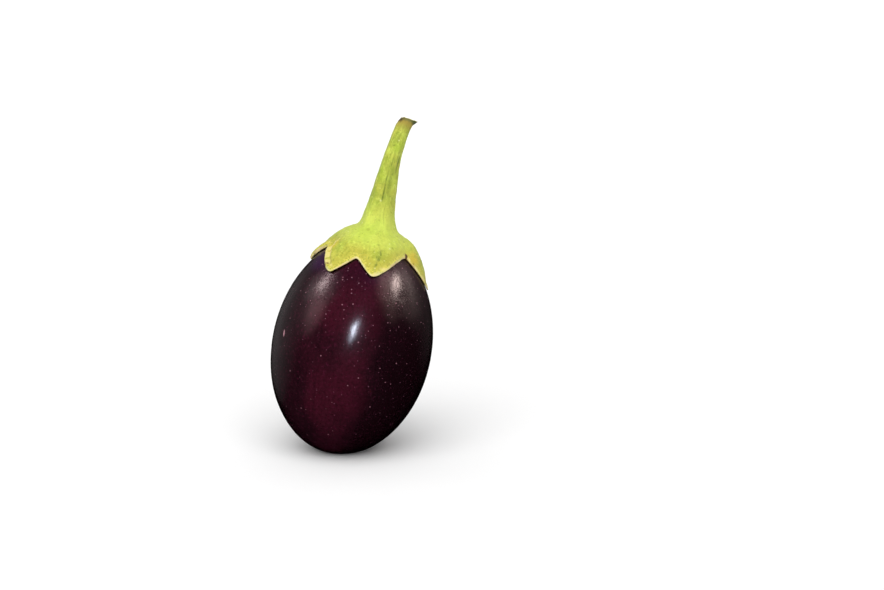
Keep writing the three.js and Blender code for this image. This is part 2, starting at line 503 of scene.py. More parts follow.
def closed_tube(rows: int, columns: int) -> tuple[bmesh.types.BMesh, Array, Array]:
    """Rolls a grid up to a tube whose first and last rows are each drawn together to a point.

    Args:
        rows: the number of rows of faces.
        columns: the number of faces around.

    Returns:
        the tube, and for each of its vertices its row and its turn, from 0 to just under 1.
    """
    form = bmesh.new()
    bmesh.ops.create_grid(form, x_segments=columns, y_segments=rows, size=0.5)
    flat = corners_of(form)
    row = np.rint((0.5 - flat[:, 1]) * rows)
    angle = (flat[:, 0] + 0.5) * 2.0 * math.pi
    radius = np.where((row > 0) & (row < rows), 1.0, 0.0)
    rolled = np.stack([radius * np.cos(angle), radius * np.sin(angle), -row], axis=-1)
    move_to(form, rolled)
    bmesh.ops.remove_doubles(form, verts=form.verts, dist=1e-4)
    unit = corners_of(form)
    turn = np.mod(np.arctan2(unit[:, 1], unit[:, 0]) / (2.0 * math.pi), 1.0)
    return form, np.rint(-unit[:, 2]), np.where(turn > 1.0 - 0.5 / columns, 0.0, turn)


def edge_line(fruit: Fruit) -> kdtree.KDTree:
    """The calyx's edge on the fruit's skin, as a tree of close points for measuring distances."""
    around = np.arange(0.0, 360.0, 0.25)
    points = fruit.skin(fruit.crown.edge_polar(around), around)
    tree = kdtree.KDTree(len(points))
    for index, point in enumerate(points):
        tree.insert(Vector(point), index)
    tree.balance()
    return tree


def distance_to(line: kdtree.KDTree, points: Array) -> Array:
    """The distance of each point from a line of points."""
    return np.array([line.find(point)[2] for point in points.tolist()])


def finished(
    form: bmesh.types.BMesh, name: str, points: Array, marks: dict[str, Array]
) -> bpy.types.Object:
    """Moves a form's vertices to their places and turns it to an object at the origin.

    Args:
        form: the form; it is freed.
        name: the new object's name.
        points: a place in mm for each vertex.
        marks: attributes for the materials, one number or vector for each vertex.

    Returns:
        the new object.
    """
    move_to(form, points * MM)
    bmesh.ops.recalc_face_normals(form, faces=form.faces)
    for face in form.faces:
        face.smooth = True
    mesh = bpy.data.meshes.new(name)
    form.to_mesh(mesh)
    form.free()
    for mark, values in marks.items():
        kind, entry = ("FLOAT_VECTOR", "vector") if values.ndim == 2 else ("FLOAT", "value")
        attribute = mesh.attributes.new(mark, kind, "POINT")
        attribute.data.foreach_set(entry, values.astype(np.float32).ravel())
    return linked(name, mesh)


@dataclass(frozen=True)
class Crease:
    """A line down the stem or the calyx that is sunken (or raised) and tinted: its own darker streak,
    in part painted shade in the groove.

    Attributes:
        start: how far along, in mm above the stem's foot (below it is negative), and around.
        end: the same for its other end.
        width: half its width in mm.
        depth: how deep it is in mm; a ridge is negative.
        streak_and_shade_tint: how much of the crease's darker colour, partly painted shade, it shows.
    """

    start: tuple[float, float]
    end: tuple[float, float]
    width: float
    depth: float
    streak_and_shade_tint: float


@dataclass(frozen=True)
class Fold:
    """A fold along the calyx's edge.

    Attributes:
        inside: how far it is from the edge, in mm.
        width: half its width in mm.
        height: how high it is in mm; a furrow is negative.
    """

    inside: float
    width: float
    height: float


@dataclass(frozen=True)
class Stretch:
    """A stretch of the calyx's edge that has folds of its own.

    Attributes:
        rise: the angles around between which it begins.
        fall: those between which it ends.
        folds: its folds.
    """

    rise: tuple[float, float]
    fall: tuple[float, float]
    folds: tuple[Fold, ...]

    def share(self, around: Array) -> Array:
        """1 in the stretch and 0 outside it."""
        (start, full), (last, end) = self.rise, self.fall
        begun = eased(turned_by(around, start), 0.0, full - start)
        return begun * (1.0 - eased(turned_by(around, last), 0.0, end - last))


@dataclass
class CalyxAndStem:
    """The green calyx on the fruit's shoulders, grown in one with the cut stem."""

    fruit: Fruit
    stem_top: float = 76.9
    stem_foot: float = 39.8
    stem_waist: float = 42.6
    tip_radius: float = 2.45
    taper: float = 2.05
    taper_power: float = 1.8
    flare: float = 0.86
    flare_length: float = 4.0
    cut_flare: float = 0.3
    cut_flare_length: float = 1.1
    cut_sink: float = 0.45
    cut_rise: float = 0.7
    cut_tilt: float = 1.1
    lip_around: float = 80.0
    lip_reach: float = 1.4
    lip_droop: float = 0.6
    lip_sharpness: float = 4.5
    lip_length: float = 0.9
    dry_side: float = 35.0
    shoulder_around: float = -75.0
    shoulder_inset: float = 0.75
    shoulder_droop: float = 0.35
    shoulder_length: float = 1.3
    rib_share: float = 0.06
    tip_bend: float = 2.3
    bend_from: float = 0.32
    bend_power: float = 2.3
    back_bend: float = 1.2
    foot_shift: float = 0.6
    gap: float = 0.3
    collar_polar: float = 14.0
    collar_thickness: float = 3.3
    edge_thickness: float = 0.46
    thin_polar: float = 46.0
    margin_fall: float = 1.7
    valley_share: float = 0.22
    columns: int = 400
    arc: float = 0.5
    grain_shortening: float = 0.2
    junction_rows: int = 12
    junction_passes: int = 14
    still_rows: int = 3
    edge_lumps: Lumps = Lumps(1.6, 0.35, 2.2)
    edge_ring: float = 9.0
    cut_wear: Lumps = Lumps(0.8, 0.16, 6.1)
    cut_wear_ring: float = 2.5
    cut_drop: float = 0.35
    # How far the brown of the cut runs down the stem: less at its front than on the other sides.
    cut_stain: tuple[float, float] = (0.72, 1.3)
    cut_stain_around: float = 10.0
    cut_stain_lumps: Lumps = Lumps(0.8, 0.4, 3.3)
    bumps: tuple[Lumps, ...] = (Lumps(1.9, 0.055, 1.3), Lumps(0.9, 0.03, 7.9))
    ribbing: Lumps = Lumps(0.8, 0.07, 4.4)
    crease_sway: Lumps = Lumps(3.0, 0.22, 17.0)
    stain_lumps: Lumps = Lumps(0.9, 0.36, 13.0)
    crinkle: Lumps = Lumps(0.9, 0.2, 9.2)
    crinkle_width: float = 0.6
    # The fold below the cut: its depth, half its width and how far down it is.
    cut_fold: tuple[float, float, float] = (0.12, 0.35, 1.7)
    sepal_width: float = 20.0
    midrib_width: float = 1.6
    midrib_height: float = 0.16
    rim_folds: tuple[Fold, ...] = (Fold(0.45, 0.4, 0.09), Fold(1.3, 0.5, -0.07))
    # The left side of the second sepal is rolled up, with a darker furrow inside the roll.
    rolled: Stretch = Stretch(
        (-80.0, -70.0),
        (-44.0, -35.0),
        (Fold(0.6, 0.5, 0.55), Fold(1.8, 0.5, -0.35), Fold(3.0, 0.8, 0.2)),
    )
    rolled_tint: Fold = Fold(1.7, 0.3, 0.3)
    # The last sepal, at the left, has a swollen edge.
    swollen: Stretch = Stretch((-114.0, -102.0), (-86.0, -74.0), (Fold(0.9, 1.0, 0.8),))
    rust_and_cleft_shade_spots: tuple[Spot, ...] = (
        Spot(43.0, -48.0, 1.5, 1.0, 0.7),
        Spot(39.5, -55.5, 0.4, 0.9, 0.5),
        Spot(42.3, -46.5, 0.5, 0.9, 0.7),
        # This strong spot in the notch is painted shade: the dark cleft between two sepals.
        Spot(26.8, 62.0, 0.6, 0.75, 2.2),
        Spot(33.0, 70.0, 0.6, 2.4, 0.45),
        Spot(44.0, 84.0, 0.7, 2.0, 0.6),
        Spot(45.0, 182.0, 1.6, 1.4, 1.0),
        Spot(44.0, 263.0, 0.8, 2.4, 0.6),
        Spot(29.0, 141.0, 0.8, 0.8, 1.2),
    )
    gold_spots: tuple[Spot, ...] = (
        Spot(33.0, -62.0, 2.0, 4.5, 0.9),
        Spot(30.0, 73.0, 2.4, 2.6, 1.0),
        Spot(33.0, -22.0, 2.6, 2.0, 0.25),
        Spot(40.0, 186.0, 3.0, 3.5, 0.8),
        Spot(36.0, 246.0, 2.4, 4.0, 0.6),
        Spot(44.0, 92.0, 1.5, 2.4, 0.7),
    )
    bleached_spots: tuple[Spot, ...] = (
        Spot(37.0, 18.0, 2.3, 1.3, 1.0),
        Spot(40.5, 6.0, 1.4, 1.0, 0.6),
        Spot(42.5, -41.0, 1.6, 1.0, 0.8),
        Spot(34.0, -64.0, 1.1, 6.0, 1.2),
        Spot(38.5, -57.0, 1.1, 3.0, 1.6),
        Spot(42.5, -49.0, 1.2, 2.2, 1.6),
        Spot(30.0, 66.0, 0.6, 2.6, 0.8),
        Spot(47.5, 257.0, 1.4, 1.6, 1.0),
        Spot(45.0, 176.0, 1.6, 1.4, 0.8),
    )
    creases: tuple[Crease, ...] = (
        Crease((22.5, 2.0), (9.0, 1.5), 0.42, 0.24, 0.55),
        Crease((15.5, 1.5), (8.5, 2.5), 0.46, 0.16, 0.7),
        # Painted shade: a broad dark band on the stem's right side.
        Crease((20.0, 15.0), (0.0, 20.0), 1.3, 0.1, 0.1),
        Crease((10.0, 3.0), (1.0, 10.0), 0.5, 0.08, 0.3),
        Crease((28.0, 14.0), (18.0, 6.0), 0.3, 0.12, 0.5),
        # Painted shade: a broad dark band on the stem's right side.
        Crease((26.0, 27.0), (7.5, 22.0), 1.4, 0.16, 0.46),
        Crease((27.5, 58.0), (17.5, 53.0), 0.42, 0.22, 0.75),
        Crease((33.5, 2.0), (29.0, -4.0), 0.5, 0.1, 0.45),
        Crease((24.0, 92.0), (-1.0, 92.0), 2.6, -0.5, 0.0),
        Crease((14.0, -52.0), (3.0, -50.0), 0.6, 0.14, 0.3),
        Crease((9.0, 20.0), (1.0, 24.0), 0.3, 0.12, 0.35),
        Crease((7.0, -8.0), (-1.5, -14.0), 0.3, 0.1, 0.3),
        Crease((32.0, -28.0), (22.0, -30.0), 0.3, 0.12, 0.25),
        Crease((30.0, 150.0), (6.0, 138.0), 0.5, 0.22, 0.7),
        Crease((24.0, 228.0), (2.0, 219.0), 0.6, 0.22, 0.6),
        Crease((-5.0, 13.5), (-7.8, 11.0), 0.5, 0.12, 0.46),
        Crease((-7.2, 11.4), (-10.2, 8.2), 0.75, 0.15, 0.6),
        Crease((-9.4, 8.2), (-12.2, 4.8), 0.5, 0.15, 0.66),
        Crease((-7.4, 4.6), (-9.6, 7.6), 0.3, 0.12, 0.5),
        Crease((-13.0, 94.0), (-18.5, 92.0), 0.45, 0.3, 0.9),
        Crease((-11.5, -53.0), (-15.4, -41.0), 0.36, 0.32, 0.2),
        Crease((-12.6, -53.0), (-15.0, -47.0), 0.28, 0.24, 0.5),
        Crease((-10.0, -66.0), (-13.6, -54.0), 0.3, 0.2, 0.25),
        Crease((-12.2, -40.0), (-15.6, -43.0), 0.5, -0.28, 0.0),
        Crease((-5.5, 9.0), (-8.4, 13.5), 0.32, 0.14, 0.8),
        Crease((-3.8, 30.0), (-5.2, 34.0), 0.34, 0.1, 0.6),
        Crease((-4.0, -40.0), (-9.0, -44.0), 0.3, 0.1, 0.35),
        Crease((-3.2, -8.0), (-7.5, -4.0), 0.3, 0.1, 0.3),
    )

    @property
    def crown(self) -> Crown:
        """The sepals' places."""
        return self.fruit.crown

    def stem_radius(self, height: Array) -> Array:
        """The stem's radius at heights, without its ribs."""
        down = (self.stem_top - height) / (self.stem_top - self.stem_waist)
        taper = self.taper * np.clip(down, 0.0, None) ** self.taper_power
        flare = self.flare * np.exp((self.stem_waist - height) / self.flare_length)
        rim = self.cut_flare * np.exp((height - self.stem_top) / self.cut_flare_length)
        return self.tip_radius + taper + flare + rim

    def lip(self, around: Array) -> Array:
        """1 where the skin round the cut is torn out to a lip, and 0 away from it."""
        return (0.5 + 0.5 * facing(around, self.lip_around)) ** self.lip_sharpness

    def shoulder(self, around: Array) -> Array:
        """1 where the rim of the cut is worn down to a shoulder, and 0 across from it."""
        return 0.5 + 0.5 * facing(around, self.shoulder_around)

    def top(self, around: Array) -> Array:
        """The height of the cut's rim, which slants to the back and droops at the lip."""
        back = 0.5 - 0.5 * np.cos(np.radians(around))
        droop = self.cut_tilt * back + self.lip_droop * self.lip(around)
        droop += self.shoulder_droop * self.shoulder(around) ** 3
        return self.stem_top + self.cut_rise - droop

    def stem(self, height: Array, around: Array, share: Array) -> Array:
        """Points at a share of the stem's radius, where 1 is its surface."""
        up = (height - self.stem_foot) / (self.stem_top - self.stem_foot)
        rib = 1.0 + self.rib_share * (self.crown.at(around).rib - 0.5) * (1.2 - up)
        below = np.clip(self.top(around) - height, 0.0, None)
        torn = self.lip_reach * self.lip(around) * np.exp(-below / self.lip_length)
        inset = self.shoulder_inset * self.shoulder(around) ** 2 * bell(below, self.shoulder_length)
        radius = self.stem_radius(height) * rib + torn - inset
        points = placed(share * radius, around, height)
        bent = np.clip((up - self.bend_from) / (1.0 - self.bend_from), 0.0, 1.0) ** self.bend_power
        points[:, 0] += self.tip_bend * bent - self.foot_shift * eased(up, 0.0, 0.16)
        points[:, 1] += self.back_bend * up * up
        return points

    def lift(self, polar: Array, around: Array) -> Array:
        """How far the calyx has lifted off the skin."""
        lobes = self.crown.at(around)
        reach = (polar - self.collar_polar) / (lobes.tip_polar - self.collar_polar)
        return lobes.lift * eased(reach, 0.55, 1.0) * lobes.share**2

    def thickness(self, polar: Array, around: Array, margin: Array) -> Array:
        """The calyx's thickness, from the places and their distance to the edge."""
        run = np.clip((polar - self.collar_polar) / (self.thin_polar - self.collar_polar), 0.0, 1.0)
        lobes = self.crown.at(around)
        relief = lobes.flesh * lobes.rib - self.valley_share * (1.0 - lobes.rib)
        flesh = blended(self.collar_thickness, self.edge_thickness, run)
        flesh = flesh * (1.0 + relief * eased(run, 0.0, 0.4))
        inside = 1.0 - np.exp(-margin / self.margin_fall)
        return self.edge_thickness + (flesh - self.edge_thickness) * inside

    def leaf(self, polar: Array, around: Array, level: Array, margin: Array) -> Array:
        """Points of the calyx, from its underside (level 0) to its outer face (level 1)."""
        height = self.gap + self.lift(polar, around)
        height = height + level * self.thickness(polar, around, margin)
        return self.fruit.skin(polar, around) + self.fruit.outward(polar, around) * height[:, None]

    def build(self) -> bpy.types.Object:
        """Builds the mesh of the calyx and the stem.

        Returns:
            them, as one new object.
        """
        form, row, turn = closed_tube(sum(zone.value for zone in Zone), self.columns)
        corners = self.crown.corners
        around = np.interp(turn * (len(corners) - 1), np.arange(len(corners)), corners)
        edge = self.crown.edge_polar(around)
        edge = edge + self.edge_lumps.at(placed(np.full_like(edge, self.edge_ring), around, 0.0))
        line = edge_line(self.fruit)

        points = np.zeros((len(row), 3))
        along, cut, under = np.zeros((3, len(row)))
        margin = np.full(len(row), FAR)
        first = 0
        for zone in Zone:
            here = (row > first) & (row <= first + zone.value)
            if zone is Zone.CUT:
                here |= row == 0
            run, turned = (row[here] - first) / zone.value, around[here]
            if zone is Zone.CUT:
                points[here], along[here], cut[here] = self.cut_face(run, turned)
            elif zone is Zone.STEM:
                points[here], along[here], cut[here] = self.stem_side(run, turned)
            else:
                rows = self.leaf_rows(zone, run, turned, edge[here], line)
                points[here], along[here], margin[here], under[here] = rows
            first += zone.value

        self.smooth_junction(form, points, row)
        plain = corners_of(form)
        streak_and_shade_tint, height = self.relief(plain, row, along, around, margin)
        edge_dry = np.exp(-margin / (0.2 + self.crown.at(around).dry))
        marks = {
            "along": along,
            "margin": margin,
            "cut": cut,
            "under": under,
            "crease": streak_and_shade_tint,
            "below_cut": self.below_cut(along, around),
            "rust": self.stain(self.rust_and_cleft_shade_spots, plain, along, around),
            "gold": self.stain(self.gold_spots, plain, along, around),
            "bleached": self.stain(self.bleached_spots, plain, along, around),
            "dry": edge_dry * (1.0 - eased(along, -4.0, -1.0)) - 0.25 * under,
            "grain": self.grain(along, around),
        }
        points = self.fruit.stood(plain + self.normals(form) * height[:, None])
        return finished(form, "green_calyx_and_stem", points, marks)

    def cut_face(self, run: Array, around: Array) -> tuple[Array, ...]:
        """Works out the cut's face, from its middle to its rim.

        Args:
            run: how far out the vertices are, from 0 to 1.
            around: their angles around.

        Returns:
            their points, their heights above the stem's foot and how much they show the cut.
        """
        share = np.sin(0.5 * math.pi * np.clip(run, 0.0, 1.0))
        sunk = self.cut_sink * (1.0 - eased(share, 0.45, 0.96))
        wear = self.cut_wear.at(placed(share * self.cut_wear_ring, around, 0.0))
        middle = self.stem_top + self.cut_rise - 0.5 * self.cut_tilt
        height = blended(middle, self.top(around), share**1.5) - sunk
        height += wear * eased(share, 0.0, 0.3) - 0.3 * eased(share, 0.95, 1.0)
        points = self.stem(height, around, share * 0.985)
        return points, height - self.stem_foot, 1.0 - 0.5 * eased(share, 0.97, 1.0)

    def stem_side(self, run: Array, around: Array) -> tuple[Array, ...]:
        """Works out the stem's side, from the cut down to its foot.

        Args:
            run: how far down the vertices are, from 0 to 1.
            around: their angles around.

        Returns:
            their points, their heights above the stem's foot and how much they show the cut.
        """
        top = self.top(around) - self.cut_drop
        height = blended(top, self.stem_foot, run**0.9)
        points = self.stem(height, around, np.ones_like(run))
        aside = np.abs(turned_by(around, self.cut_stain_around))
        stained = blended(*self.cut_stain, eased(aside, 25.0, 60.0))
        stained = stained * (1.0 + self.cut_stain_lumps.at(points))
        cut = 0.5 * bell(np.clip(top - height, 0.0, None), stained)
        return points, height - self.stem_foot, cut

    def leaf_rows(
        self, zone: Zone, run: Array, around: Array, rim: Array, line: kdtree.KDTree
    ) -> tuple[Array, ...]:
        """Works out one zone of the calyx: its outside, its edge or its underside.

        Args:
            zone: the zone.
            run: how far through it the vertices are, from 0 to 1.
            around: their angles around.
            rim: the edge's polar angle at each.
            line: the edge.

        Returns:
            their points, their heights above the stem's foot, which are negative, their distances
            to the edge and how far they are round to the underside.
        """
        skin = self.fruit.skin
        if zone is Zone.OUTSIDE:
            polar, level = blended(self.collar_polar, rim, run), np.ones_like(run)
            margin = distance_to(line, skin(polar, around)) * eased(1.0 - run, 0.0, 0.02)
        elif zone is Zone.EDGE:
            polar, level, margin = rim, 0.5 + 0.5 * np.cos(math.pi * run), np.zeros_like(run)
        else:
            polar, level = blended(rim, 0.0, run), np.zeros_like(run)
            margin = distance_to(line, skin(polar, around))
        points = self.leaf(polar, around, level, margin)
        if zone is Zone.EDGE:
            down = skin(rim + 1.0, around) - skin(rim, around)
            down /= np.linalg.norm(down, axis=1, keepdims=True)
            bulge = 0.5 * self.edge_thickness * np.sin(math.pi * run)
            points += down * bulge[:, None]
        return points, (self.collar_polar - polar) * self.arc, margin, 1.0 - level

    def below_cut(self, along: Array, around: Array) -> Array:
        """How far the stem's skin is from the cut in mm, and further on its fresher left side."""
        fresher = 0.9 - 0.9 * facing(around, self.dry_side)
        below = self.top(around) - self.stem_foot - along
        return np.where(along > 0.0, below + fresher, FAR)

    def smooth_junction(self, form: bmesh.types.BMesh, points: Array, row: Array) -> None:
        """Moves the blank to its plain form and smooths where the stem runs out into the calyx.

        Args:
            form: the blank.
            points: a place in mm for each vertex.
            row: each vertex's row.
        """
        move_to(form, points)
        middle = Zone.CUT.value + Zone.STEM.value
        near = np.abs(row - middle) <= self.junction_rows
        joint = [vertex for vertex, close in zip(form.verts, near) if close]
        for _ in range(self.junction_passes):
            bmesh.ops.smooth_vert(
                form, verts=joint, factor=0.5, use_axis_x=True, use_axis_y=True, use_axis_z=True
            )

    def normals(self, form: bmesh.types.BMesh) -> Array:
        """The outward direction at each vertex of a closed form."""
        bmesh.ops.recalc_face_normals(form, faces=form.faces)
        form.normal_update()
        return np.array([vertex.normal[:] for vertex in form.verts])

    def grain(self, along: Array, around: Array) -> Array:
        """Coordinates in mm for patterns that run up the stem and down the sepals."""
        reach = np.where(along > 0.0, 4.0, 4.0 - 0.75 * along)
        return placed(reach, around, along * self.grain_shortening)

    def stain(self, spots: tuple[Spot, ...], plain: Array, along: Array, around: Array) -> Array:
        """How stained the calyx is by some soft and ragged spots.

        Args:
            spots: the spots, where their depth is how strong they are.
            plain: the points of the plain form.
            along: how far each is above the stem's foot, in mm.
            around: its angle around.

        Returns:
            0 where it is fresh, up to about 1 in the spots.
        """
        polar = self.collar_polar - along / self.arc
        stain = np.max([self.fruit.spotted(spot, polar, around) for spot in spots], axis=0)
        return stain * (1.0 + self.stain_lumps.at(plain)) * (along < 0.0)

    def relief(
        self, plain: Array, row: Array, along: Array, around: Array, margin: Array
    ) -> tuple[Array, Array]:
        """Works out the ridges, creases, veins and lumps of the outer surface.

        Args:
            plain: the points of the plain form.
            row: each vertex's row.
            along: how far it is above the stem's foot, in mm.
            around: its angle around.
            margin: how far it is from the calyx's edge, in mm.

        Returns:
            the tint of the creases, partly painted shade, and the height of the relief in mm, for
            each vertex.
        """
        reach = np.where(along > 0.0, self.stem_radius(along + self.stem_foot), 6.5 - 0.75 * along)
        streak_and_shade_tint = np.zeros(len(plain))
        height = self.ribbing.at(self.grain(along, around))
        for bumps in self.bumps:
            height += bumps.at(plain)
        sway = self.crease_sway.at(np.stack([along, 0.02 * around, 0.0 * along], axis=-1))
        for crease in self.creases:
            share = (along - crease.start[0]) / (crease.end[0] - crease.start[0])
            middle = blended(crease.start[1], crease.end[1], np.clip(share, 0.0, 1.0))
            across = np.radians(turned_by(around, middle)) * reach + sway
            ends = eased(share, -0.05, 0.4) * (1.0 - eased(share, 0.6, 1.05))
            mask = bell(across, crease.width * (0.45 + 0.55 * ends)) * ends
            streak_and_shade_tint = np.maximum(streak_and_shade_tint, mask * crease.streak_and_shade_tint)
            height -= crease.depth * mask

        # Each sepal has a low midrib, and its edge is drawn up into a thin lip.
        on_leaf = 1.0 - eased(along, -4.0, 0.0)
        across = (1.0 - self.crown.at(around).share) * self.sepal_width
        midrib = bell(across, self.midrib_width) * eased(margin, 0.5, 4.0)
        height += self.midrib_height * midrib * on_leaf
        rolled = self.rolled.share(around) * on_leaf
        swollen = self.swollen.share(around) * on_leaf
        for mask, folds in (
            (on_leaf, self.rim_folds),
            (rolled, self.rolled.folds),
            (swollen, self.swollen.folds),
        ):
            for fold in folds:
                height += fold.height * bell(margin - fold.inside, fold.width) * mask
        dark = self.rolled_tint
        streak_and_shade_tint = np.maximum(streak_and_shade_tint, dark.height * bell(margin - dark.inside, dark.width) * rolled)

        # The dried rim of the cut is crinkled, and the skin below it has drawn in to a fold.
        from_top = self.top(around) - self.stem_foot - along
        on_side = row > Zone.CUT.value
        height += self.crinkle.at(plain) * bell(from_top, self.crinkle_width) * on_side
        depth, width, below = self.cut_fold
        height -= depth * bell(from_top - below - 0.5 * np.cos(np.radians(around)), width)

        last = Zone.CUT.value + Zone.STEM.value + Zone.OUTSIDE.value
        return streak_and_shade_tint, np.where((row > self.still_rows) & (row <= last), height, 0.0)


def cycles(size: float) -> float:
    """The scale of a pattern on Object coordinates, in metres, whose features have a size in mm."""
    return 1.0 / (size * MM)


def blank_material(name: str) -> tuple[bpy.types.Material, bpy.types.NodeTree]:
    """Starts a material with an empty node tree."""
    material = bpy.data.materials.new(name)
    material.use_nodes = True
    material.node_tree.nodes.clear()
    return material, material.node_tree


@dataclass(frozen=True)
class Layer:
    """A colour laid over what is under it, where a guide says so.

    Attributes:
        colour: the colour.
        guide: the name of the pattern or of the mesh's attribute that guides it.
        start: the guide's value where the layer begins to show.
        full: its value where the layer shows most.
        most: the share of the colour under it that it covers there.
    """

    colour: str
    guide: str
    start: float
    full: float
    most: float


def ramp(
    value: object, start: float, full: float, least: float = 0.0, most: float = 1.0
) -> dict[str, object]:
    """The inputs that turn a value between start and full to one between least and most."""
    return {"Value": value, "From Min": start, "From Max": full, "To Min": least, "To Max": most}


@dataclass(frozen=True)
class Pattern:
    """Cloudy noise that guides layers.

    Attributes:
        name: the guide's name.
        size: the size of its clouds, in mm.
        detail: how many finer sizes of clouds are in it.
        roughness: how strong the finer ones are.
        drawn_out: whether it follows the mesh's grain.
    """

    name: str
    size: float
    detail: float
    roughness: float
    drawn_out: bool = False


@dataclass(frozen=True)
class Specks:
    """Small round specks of many sizes, in some of the cells of a loose grid.

    Attributes:
        name: the guide's name.
        spacing: the size of the cells that may hold a speck, in mm.
        chosen: the share of the cells that hold one.
        radius: the largest radius, as a share of the spacing.
    """

    name: str
    spacing: float
    chosen: float
    radius: float

    def guide(self, tree: bpy.types.NodeTree, place: bpy.types.NodeSocket) -> bpy.types.NodeSocket:
        """Adds the specks to a material.

        Args:
            tree: the material's node tree.
            place: the Object coordinates.

        Returns:
            a guide that is 1 in the specks and 0 between them.
        """
        node = partial(add_node, tree)
        cell = node("ShaderNodeTexVoronoi", {"Vector": place, "Scale": cycles(self.spacing)})
        drawn = node("ShaderNodeSeparateColor", {"Color": cell.outputs["Color"]})
        least = 1.0 - self.chosen
        size = node("ShaderNodeMapRange", ramp(drawn, least, 1.0, 0.25 * self.radius, self.radius))
        held = node("ShaderNodeMath", {0: drawn, 1: least}, operation="GREATER_THAN")
        reach = {0: size, 1: cell.outputs["Distance"]}
        inside = node("ShaderNodeMath", reach, operation="SUBTRACT")
        speck = node("ShaderNodeMapRange", ramp(inside, -0.02, 0.05))
        return node("ShaderNodeMath", {0: speck, 1: held}, operation="MULTIPLY").outputs[0]


def guided(
    tree: bpy.types.NodeTree,
    marks: tuple[str, ...],
    patterns: tuple[Pattern, ...],
    specks: tuple[Specks, ...],
) -> dict[str, bpy.types.NodeSocket]:
    """Adds what can guide a material's layers.

    Args:
        tree: the material's node tree.
        marks: the mesh's attributes that it reads.
        patterns: its cloudy patterns.
        specks: its specks.

    Returns:
        each of them by its name, and the Object coordinates as "place".
    """
    node = partial(add_node, tree)
    place = node("ShaderNodeTexCoord").outputs["Object"]
    grain = node("ShaderNodeAttribute", attribute_name="grain").outputs["Vector"]
    guides = {"place": place}
    for mark in marks:
        guides[mark] = node("ShaderNodeAttribute", attribute_name=mark).outputs["Fac"]
    for pattern in patterns:
        scale = 1.0 / pattern.size if pattern.drawn_out else cycles(pattern.size)
        look = {"Scale": scale, "Detail": pattern.detail, "Roughness": pattern.roughness}
        look["Vector"] = grain if pattern.drawn_out else place
        guides[pattern.name] = node("ShaderNodeTexNoise", look).outputs[0]
    for speck in specks:
        guides[speck.name] = speck.guide(tree, place)
    return guides


def layered(
    tree: bpy.types.NodeTree,
    base: str | bpy.types.NodeSocket,
    layers: tuple[Layer, ...],
    guides: dict[str, bpy.types.NodeSocket],
) -> bpy.types.NodeSocket:
    """Lays colours over one another.

    Args:
        tree: the material's node tree.
        base: the colour under them all.
        layers: the colours over it, the lowest first.
        guides: every pattern and attribute that a layer may name.

    Returns:
        the colour of them all.
    """
    colour = linear(base) if isinstance(base, str) else base
    for layer in layers:
        reach = ramp(guides[layer.guide], layer.start, layer.full, 0.0, layer.most)
        share = add_node(tree, "ShaderNodeMapRange", reach, interpolation_type="SMOOTHSTEP")
        pair = {0: share, 6: colour, 7: linear(layer.colour)}
        colour = add_node(tree, "ShaderNodeMix", pair, data_type="RGBA").outputs[2]
    return colour


def embossed(
    tree: bpy.types.NodeTree,
    reliefs: tuple[tuple[bpy.types.NodeSocket | bpy.types.Node, float, float], ...],
) -> bpy.types.Node:
    """Lays fine reliefs over one another.

    Args:
        tree: the material's node tree.
        reliefs: for each its pattern, its strength and how many mm high it is; a negative height
            goes inwards.

    Returns:
        the node that gives the normal.
    """
    under = {}
    for pattern, strength, height in reliefs:
        size = {"Height": pattern, "Strength": strength, "Distance": abs(height) * MM}
        normal = add_node(tree, "ShaderNodeBump", {**size, **under}, invert=height < 0.0)
        under = {"Normal": normal}
    return normal


